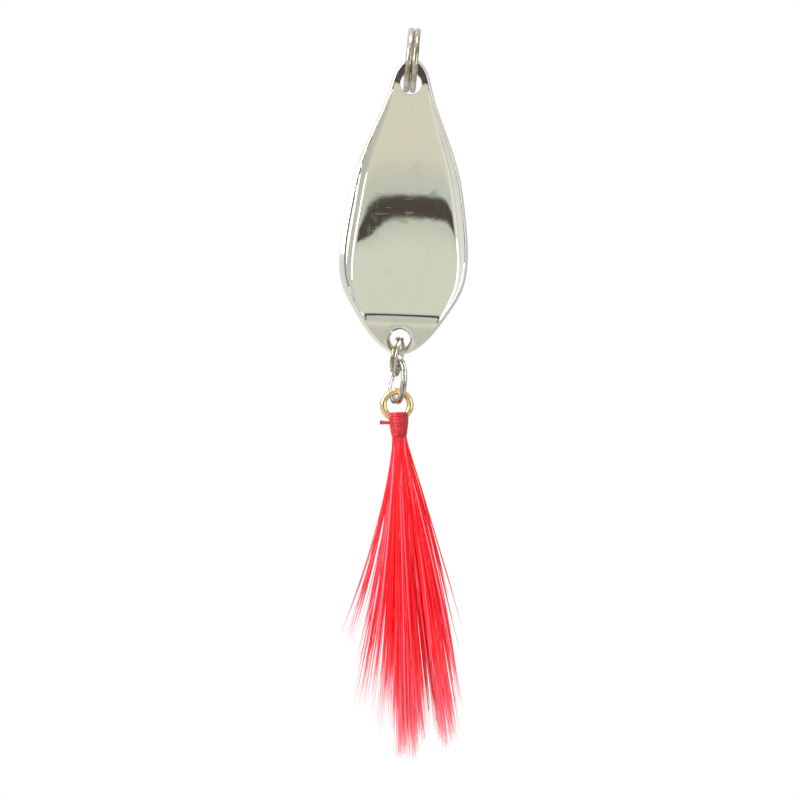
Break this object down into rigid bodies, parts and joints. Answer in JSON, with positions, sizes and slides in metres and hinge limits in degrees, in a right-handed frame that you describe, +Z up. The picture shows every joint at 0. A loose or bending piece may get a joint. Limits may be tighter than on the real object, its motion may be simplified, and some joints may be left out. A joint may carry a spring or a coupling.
{
  "type": "casting spoon fishing lure",
  "caption": "Bright dished metal casting spoon with a line ring above, two linked split rings below and a hook dressed with a long red hair tail.",
  "frame": {"origin": "centre of the line split ring, where the line or snap pulls", "axes": "+Z up along the blade towards the line, +X across the blade, -Y out of the dished front"},
  "size_m": [0.0216, 0.0197, 0.1133],
  "materials": {
    "blade_chrome": "bright polished plating on pressed metal",
    "ring_nickel": "bright nickel-plated spring wire",
    "hook_gold": "bright gold-plated hook wire",
    "red_thread": "waxed winding thread",
    "red_hair": "dyed animal hair, paler at the tips"
  },
  "bodies": {
    "line_ring": {"line_split_ring": "ring_nickel"},
    "blade": {"spoon_blade": "blade_chrome"},
    "upper_ring": {"upper_tail_split_ring": "ring_nickel"},
    "lower_ring": {"lower_tail_split_ring": "ring_nickel"},
    "tail": {"hook": "hook_gold", "thread_base": "red_thread", "thread_whipping": "red_thread", "thread_tag": "red_thread", "right_back_hair_lock": "red_hair", "back_right_hair_lock": "red_hair", "back_left_hair_lock": "red_hair", "left_back_hair_lock": "red_hair", "left_front_hair_lock": "red_hair", "front_left_hair_lock": "red_hair", "front_right_hair_lock": "red_hair", "right_front_hair_lock": "red_hair"}
  },
  "joints": [
    {"name": "blade_swing", "type": "hinge", "parent": "line_ring", "child": "blade", "pos_m": [0, 0, 0], "axis": [0.999, 0, -0.0436], "range_deg": [-80, 50]},
    {"name": "upper_ring_sway", "type": "hinge", "parent": "blade", "child": "upper_ring", "pos_m": [0, 0.00376, -0.04288], "axis": [0, -0.9781, -0.2079], "range_deg": [-35, 35]},
    {"name": "lower_ring_swing", "type": "hinge", "parent": "upper_ring", "child": "lower_ring", "pos_m": [-0.00032, 0.00342, -0.04561], "axis": [0.9803, -0.1564, -0.1204], "range_deg": [-25, 32]},
    {"name": "tail_sway", "type": "hinge", "parent": "lower_ring", "child": "tail", "pos_m": [-0.00007, 0.00342, -0.05306], "axis": [0, 1, 0], "range_deg": [-55, 55]}
  ]
}
